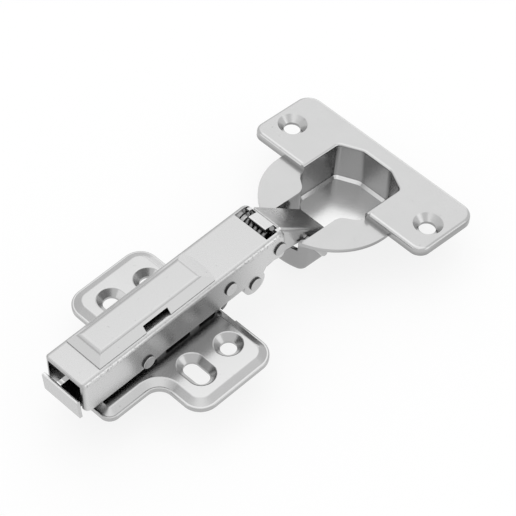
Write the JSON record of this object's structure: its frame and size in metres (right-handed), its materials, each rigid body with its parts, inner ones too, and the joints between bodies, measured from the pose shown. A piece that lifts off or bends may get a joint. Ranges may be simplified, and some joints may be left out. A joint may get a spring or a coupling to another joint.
{
  "type": "concealed cup hinge",
  "caption": "Clip-on soft-closing concealed cabinet hinge with a bored cup, two links, a channel arm with a cover, and a cross-shaped mounting plate, shown fully open.",
  "frame": {"origin": "midway between the two round screw holes, on the face of the mounting plate that meets the cabinet side", "axes": "+X towards the door, +Y across the hinge, +Z away from the cabinet side"},
  "size_m": [0.1074, 0.056, 0.0257],
  "materials": {
    "nickel_plate": "nickel-plated pressed steel, satin gloss",
    "cup_nickel": "nickel-plated drawn steel, satin gloss",
    "rivet_steel": "bright steel",
    "screw_steel": "plated steel",
    "spring_steel": "drawn spring wire",
    "damper_body": "moulded plastic"
  },
  "bodies": {
    "base": {"mounting_plate": "nickel_plate", "plate_bridge": "nickel_plate", "bridge_rivets": "rivet_steel", "adapter_channel": "nickel_plate", "catch_pin": "rivet_steel", "lever_pin": "rivet_steel", "lever_spring": "spring_steel"},
    "lever": {"release_lever": "nickel_plate"},
    "pivot": {"tilt_rivet": "rivet_steel"},
    "arm": {"hinge_arm": "nickel_plate", "arm_cover": "nickel_plate", "outer_link_rivet": "rivet_steel", "inner_link_rivet": "rivet_steel", "damper_rivet": "rivet_steel", "damper_cylinder": "damper_body", "torsion_spring": "spring_steel"},
    "side_screw": {"side_adjust_screw": "screw_steel"},
    "cam": {"depth_adjust_cam": "screw_steel"},
    "outer": {"outer_link": "nickel_plate"},
    "cup": {"hinge_cup": "cup_nickel", "cup_staple": "rivet_steel"},
    "inner": {"inner_link": "nickel_plate"},
    "rod": {"damper_rod": "rivet_steel", "damper_slider": "damper_body"}
  },
  "joints": [
    {"name": "lever_press", "type": "hinge", "parent": "base", "child": "lever", "pos_m": [-0.0225, 0, 0.009], "axis": [0, 1, 0], "range_deg": [0, 10], "stiffness_Nm_per_rad": 0.03, "springref_deg": -5.73, "deforming": ["lever_spring"]},
    {"name": "depth_adjust", "type": "slide", "parent": "base", "child": "pivot", "axis": [1, 0, 0], "range_m": [0, 0.003]},
    {"name": "side_adjust", "type": "hinge", "parent": "pivot", "child": "arm", "pos_m": [-0.0182, 0, 0.0062], "axis": [0, -1, 0], "range_deg": [-1.2, 1.8]},
    {"name": "cam_turn", "type": "hinge", "parent": "arm", "child": "cam", "pos_m": [-0.0266, 0, 0.0147], "axis": [0, 0, 1], "range_deg": [0, 180.5]},
    {"name": "screw_turn", "type": "hinge", "parent": "arm", "child": "side_screw", "pos_m": [-0.005, 0, 0.0147], "axis": [0, 0, 1], "range_deg": [-143, 214]},
    {"name": "door_swing", "type": "hinge", "parent": "outer", "child": "cup", "pos_m": [0.03689, 0, -0.00172], "axis": [0, -1, 0], "range_deg": [0, 106.38]},
    {"name": "outer_turn", "type": "hinge", "parent": "arm", "child": "outer", "pos_m": [0.0237, 0, 0.0099], "axis": [0, -1, 0], "range_deg": [-9.85, 0]},
    {"name": "inner_turn", "type": "hinge", "parent": "cup", "child": "inner", "pos_m": [0.03411, 0, 0.00303], "axis": [0, -1, 0], "range_deg": [-130.6, 0]},
    {"name": "damper_stroke", "type": "slide", "parent": "arm", "child": "rod", "axis": [1, 0, 0], "range_m": [-0.00301, 0]}
  ],
  "couplings": [
    {"joint": "cam_turn", "follows": "depth_adjust", "rad_per_m": 1047.2},
    {"joint": "screw_turn", "follows": "side_adjust", "ratio": 118.5},
    {"joint": "outer_turn", "follows": "door_swing", "ratio": -0.092294},
    {"joint": "inner_turn", "follows": "door_swing", "ratio": -1.2264},
    {"joint": "damper_stroke", "follows": "door_swing", "m_per_rad": -0.0016158}
  ]
}
